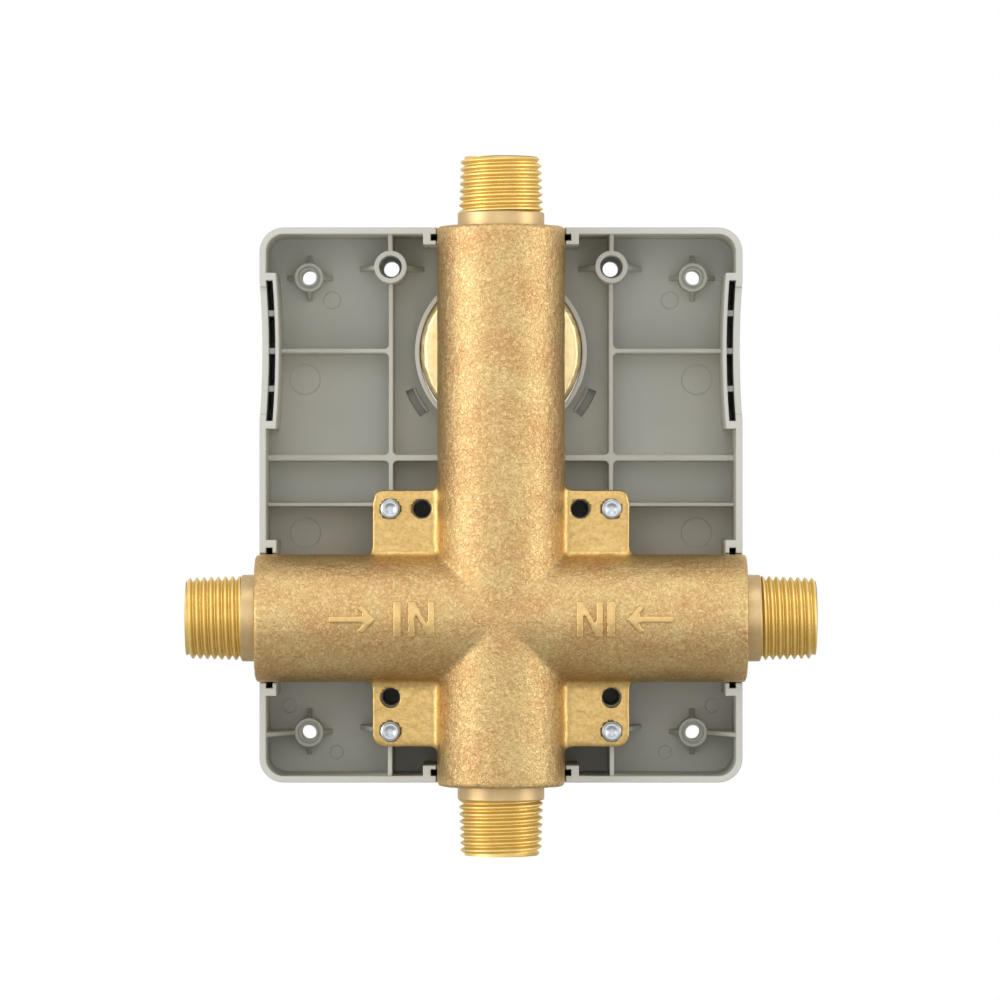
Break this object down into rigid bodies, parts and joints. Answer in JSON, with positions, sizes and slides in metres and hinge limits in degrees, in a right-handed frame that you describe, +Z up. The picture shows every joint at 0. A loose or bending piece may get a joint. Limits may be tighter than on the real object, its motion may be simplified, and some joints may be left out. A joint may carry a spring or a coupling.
{
  "type": "concealed shower valve body",
  "caption": "Brass cross-shaped shower valve with threaded pipe ends, mixing and diverting cartridges, service stops and check valves, screwed into an open-backed moulded box.",
  "frame": {"origin": "centre of the four fixing holes, on the rear plane of the fixing bosses", "axes": "+X right as seen from behind, +Y out of the wall towards the room, +Z up as installed"},
  "size_m": [0.1596, 0.0889, 0.177],
  "materials": {
    "moulded_abs": "matt moulded",
    "cast_brass": "sand cast and tumbled",
    "turned_brass": "turned",
    "zinc_steel": "zinc plated",
    "stainless": "ground",
    "white_acetal": "moulded",
    "red_acetal": "moulded",
    "seal_rubber": "moulded",
    "ceramic": "lapped"
  },
  "bodies": {
    "valve": {"mounting_box": "moulded_abs", "valve_body": "cast_brass", "body_screws": "zinc_steel", "mixing_base_seal": "seal_rubber", "mixing_cartridge_base": "white_acetal", "balance_sleeve": "stainless", "mixing_fixed_disc": "ceramic", "mixing_cartridge_housing": "white_acetal", "mixing_retaining_nut": "turned_brass", "temperature_limit_ring": "red_acetal", "diverter_base_seal": "seal_rubber", "diverter_fixed_disc": "ceramic", "diverter_housing": "white_acetal", "diverter_retaining_nut": "turned_brass", "left_stop_seal_ring": "seal_rubber", "left_stop_gland_nut": "turned_brass", "left_check_valve_housing": "white_acetal", "left_check_valve_spring": "stainless", "right_stop_seal_ring": "seal_rubber", "right_stop_gland_nut": "turned_brass", "right_check_valve_housing": "white_acetal", "right_check_valve_spring": "stainless"},
    "mixing_spindle": {"mixing_spindle": "turned_brass", "mixing_moving_disc": "ceramic"},
    "diverter_spindle": {"diverter_spindle": "turned_brass", "diverter_moving_disc": "ceramic"},
    "balance_spool": {"balance_spool": "stainless"},
    "left_stop_plug": {"left_stop_plug": "turned_brass"},
    "right_stop_plug": {"right_stop_plug": "turned_brass"},
    "left_check_poppet": {"left_check_valve_poppet": "white_acetal"},
    "right_check_poppet": {"right_check_valve_poppet": "white_acetal"}
  },
  "joints": [
    {"name": "mixing_turn", "type": "hinge", "parent": "valve", "child": "mixing_spindle", "pos_m": [0, 0.03, -0.0287], "axis": [0, 1, 0], "range_deg": [0, 115]},
    {"name": "diverter_turn", "type": "hinge", "parent": "valve", "child": "diverter_spindle", "pos_m": [0, 0.02, 0.0392], "axis": [0, 1, 0], "range_deg": [0, 90]},
    {"name": "balance_slide", "type": "slide", "parent": "valve", "child": "balance_spool", "axis": [1, 0, 0], "range_m": [-0.0015, 0.0015]},
    {"name": "left_stop_turn", "type": "hinge", "parent": "valve", "child": "left_stop_plug", "pos_m": [-0.044, 0, -0.0287], "axis": [0, 1, 0], "range_deg": [0, 90]},
    {"name": "right_stop_turn", "type": "hinge", "parent": "valve", "child": "right_stop_plug", "pos_m": [0.044, 0, -0.0287], "axis": [0, 1, 0], "range_deg": [0, 90]},
    {"name": "left_check_open", "type": "slide", "parent": "valve", "child": "left_check_poppet", "axis": [1, 0, 0], "range_m": [0, 0.002], "stiffness_N_per_m": 60, "springref_m": -0.004, "deforming": ["left_check_valve_spring"]},
    {"name": "right_check_open", "type": "slide", "parent": "valve", "child": "right_check_poppet", "axis": [-1, 0, 0], "range_m": [0, 0.002], "stiffness_N_per_m": 60, "springref_m": -0.004, "deforming": ["right_check_valve_spring"]}
  ]
}
